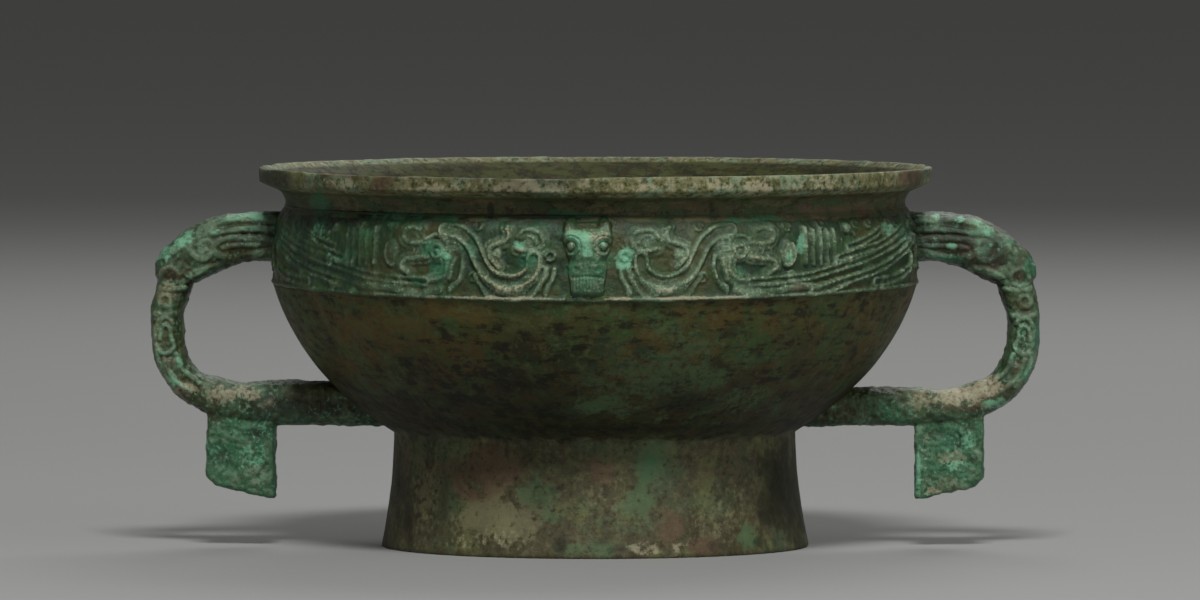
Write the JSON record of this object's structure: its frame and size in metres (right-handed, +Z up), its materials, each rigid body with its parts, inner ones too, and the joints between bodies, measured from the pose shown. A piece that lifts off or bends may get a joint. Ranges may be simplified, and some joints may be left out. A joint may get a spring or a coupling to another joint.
{
  "type": "bronze gui vessel",
  "caption": "Footed round bronze food vessel with an everted lip, a relief frieze of long-tailed creatures, and beast-head loop handles with square tabs.",
  "frame": {"origin": "middle of the foot ring's underside", "axes": "+X through the two handles, -Y the front, +Z up along the vessel's axis"},
  "size_m": [0.2904, 0.22, 0.124],
  "materials": {
    "patinated_bronze": "old cast bronze under dark olive-brown patina with malachite green on the frieze and handles"
  },
  "bodies": {
    "root": {"gui_vessel": "patinated_bronze"}
  },
  "joints": []
}
